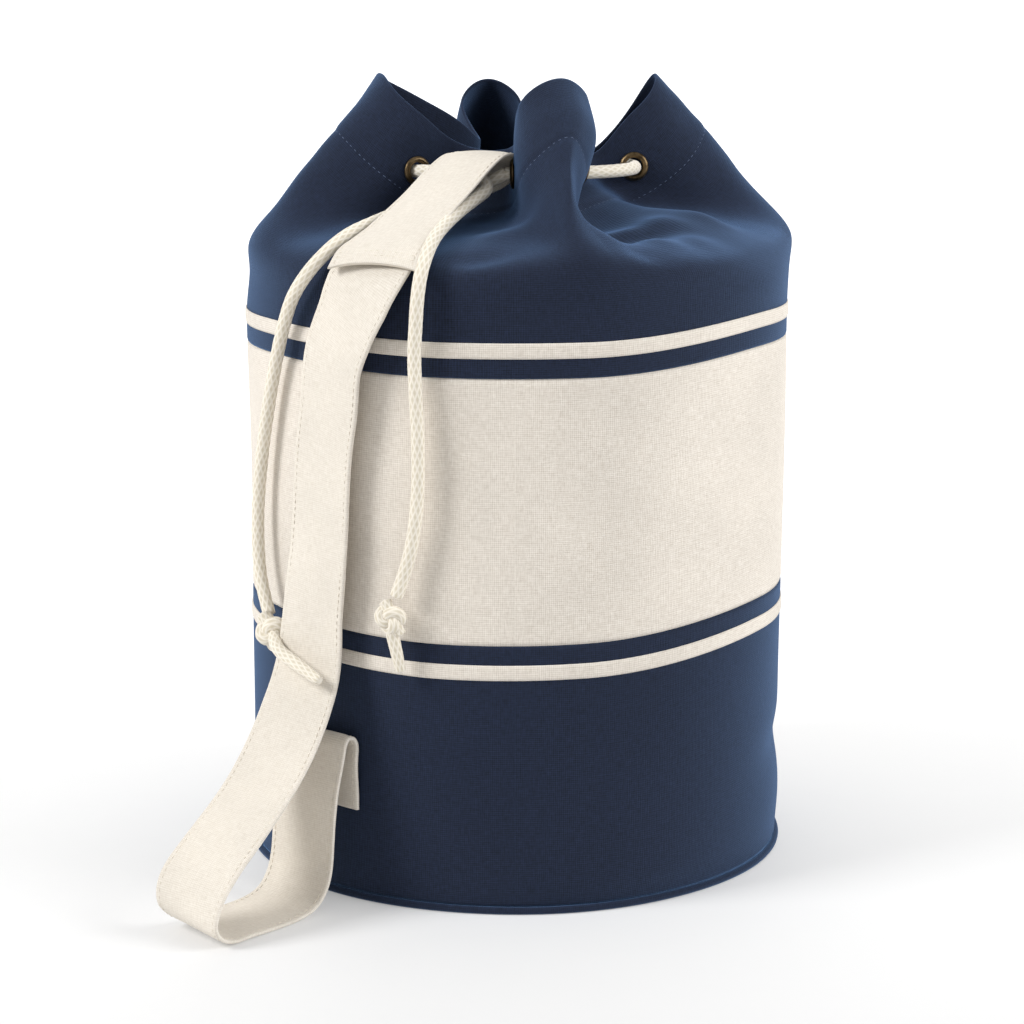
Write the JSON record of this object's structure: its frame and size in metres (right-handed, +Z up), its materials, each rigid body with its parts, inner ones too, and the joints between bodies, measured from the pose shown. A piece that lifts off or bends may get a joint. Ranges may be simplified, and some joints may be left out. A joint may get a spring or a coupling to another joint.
{
  "type": "mail sack",
  "caption": "Upright canvas drawstring sack with striped round body, eyeleted gathered mouth, knotted cord and looped shoulder strap.",
  "frame": {"origin": "centre of the round base where the sack stands on the floor", "axes": "+Z up along the axis of the round body, -Y towards the viewer, +X to the viewer's right"},
  "size_m": [0.3311, 0.3534, 0.4276],
  "materials": {
    "navy_canvas": "plain woven cotton canvas",
    "cream_canvas": "plain woven cotton canvas and tape",
    "cream_webbing": "thick stitched canvas strap",
    "cotton_cord": "braided cotton cord",
    "antique_brass": "darkened brass"
  },
  "bodies": {
    "sack": {"base_panel": "navy_canvas", "base_piping": "navy_canvas", "bottom_panel": "navy_canvas", "drawcord_ring": "cotton_cord", "eyelet_1": "antique_brass", "eyelet_2": "antique_brass", "eyelet_3": "antique_brass", "eyelet_4": "antique_brass", "eyelet_5": "antique_brass", "eyelet_6": "antique_brass", "eyelet_7": "antique_brass", "eyelet_8": "antique_brass", "eyelet_washer_1": "antique_brass", "eyelet_washer_2": "antique_brass", "eyelet_washer_3": "antique_brass", "eyelet_washer_4": "antique_brass", "eyelet_washer_5": "antique_brass", "eyelet_washer_6": "antique_brass", "eyelet_washer_7": "antique_brass", "eyelet_washer_8": "antique_brass", "left_cord_drape": "cotton_cord", "lower_stripe_tape": "cream_canvas", "middle_panel": "cream_canvas", "right_cord_drape": "cotton_cord", "shoulder_strap": "cream_webbing", "strap_sewn_end": "cream_webbing", "strap_sleeve": "cream_webbing", "top_panel": "navy_canvas", "upper_stripe_tape": "cream_canvas"},
    "strap_bight": {"strap_bight": "cream_webbing"},
    "left_cord": {"left_cord_tail": "cotton_cord", "left_knot": "cotton_cord", "left_cord_tip": "cotton_cord"},
    "right_cord": {"right_cord_tail": "cotton_cord", "right_knot": "cotton_cord", "right_cord_tip": "cotton_cord"}
  },
  "joints": [
    {"name": "strap_bight_swing", "type": "hinge", "parent": "sack", "child": "strap_bight", "pos_m": [-0.1115, -0.1283, 0.08], "axis": [0, 0, 1], "range_deg": [-20, 20]},
    {"name": "left_cord_swing", "type": "hinge", "parent": "sack", "child": "left_cord", "pos_m": [-0.118, -0.1018, 0.305], "axis": [-0.6561, -0.7547, 0], "range_deg": [-28, 0]},
    {"name": "right_cord_swing", "type": "hinge", "parent": "sack", "child": "right_cord", "pos_m": [-0.05, -0.1472, 0.306], "axis": [-0.3216, -0.9469, 0], "range_deg": [-6, 28]}
  ]
}
